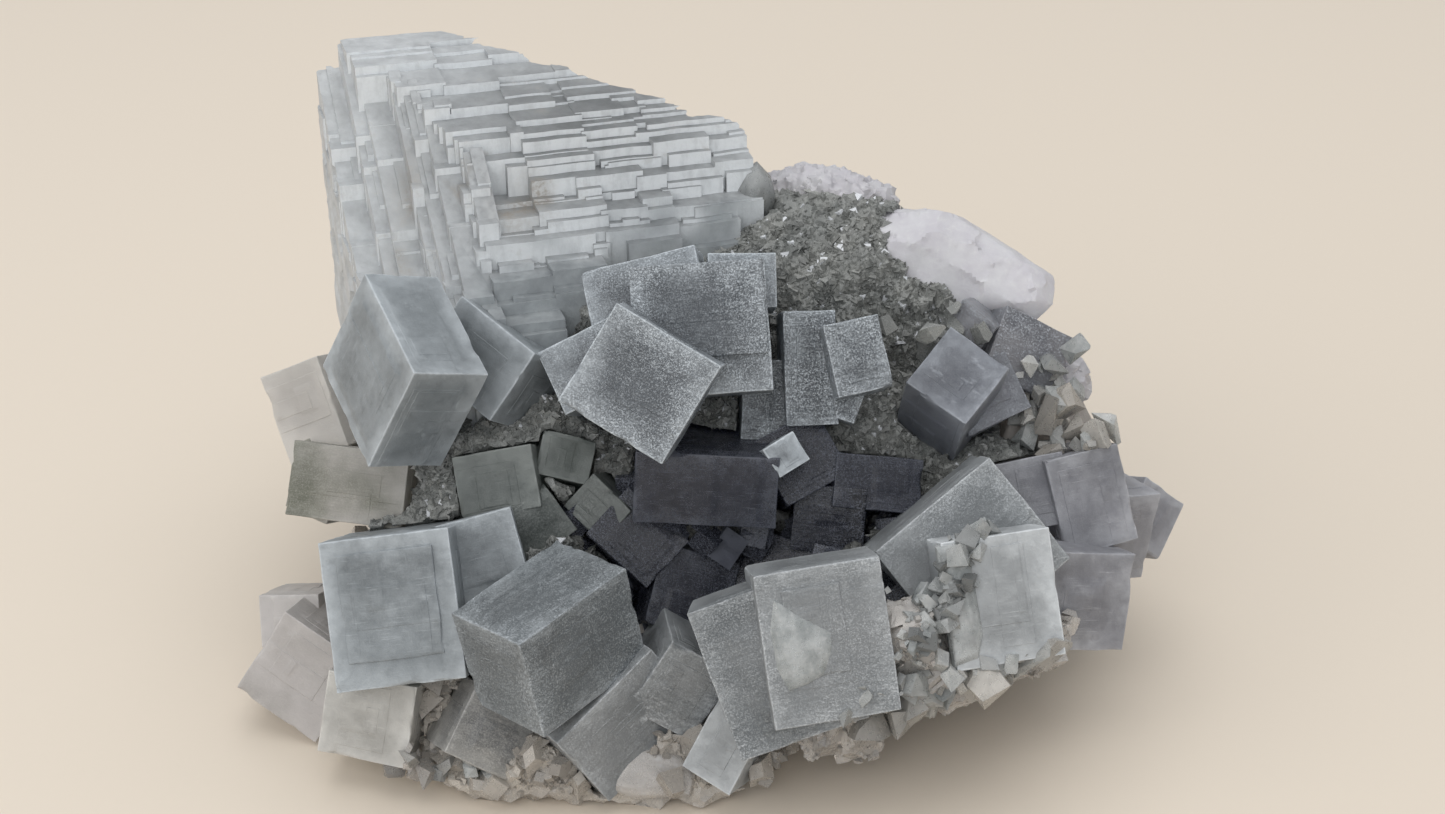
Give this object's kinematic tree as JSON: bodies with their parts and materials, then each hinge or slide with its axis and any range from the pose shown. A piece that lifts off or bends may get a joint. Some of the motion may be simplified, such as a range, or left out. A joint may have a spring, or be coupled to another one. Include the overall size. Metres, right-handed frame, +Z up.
{
  "type": "fluorite specimen",
  "caption": "Fluorite specimen: frosted blue-grey cubic crystals over a dark druzy matrix, with a large stepped crystal rising at the back left.",
  "frame": {"origin": "middle of the bounding box, at the flat broken underside the specimen rests on", "axes": "+Z up; the face with the plates and the dark valley looks to -Y, and the stepped crystal stands at -X, +Y; +X runs along the greatest width"},
  "size_m": [0.109, 0.0892, 0.0618],
  "materials": {
    "druse": "satin",
    "milky": "satin",
    "frosted": "satin",
    "clear": "satin",
    "smoky": "gloss",
    "mauve": "satin",
    "olive": "satin",
    "crust": "matte",
    "broken": "satin",
    "brown": "satin"
  },
  "bodies": {
    "root": {"stepped_crystal": "milky", "left_cubes": "frosted", "plate_cluster": "clear", "front_left_cubes": "frosted", "front_plates": "clear", "rim_plates": "milky", "right_cubes": "mauve", "smoky_cubes": "smoky", "brown_cubes": "brown", "valley_cubes": "smoky", "olive_cubes": "olive", "far_left_cubes": "mauve", "outer_left_cubes": "mauve", "pale_cubes": "milky", "ridge_cubes": "clear", "back_cubes": "frosted", "back_left_cubes": "mauve", "crest_crust": "crust", "ridge_crust": "crust", "right_crust": "crust", "broken_ledge": "broken", "matrix": "druse"}
  },
  "joints": []
}
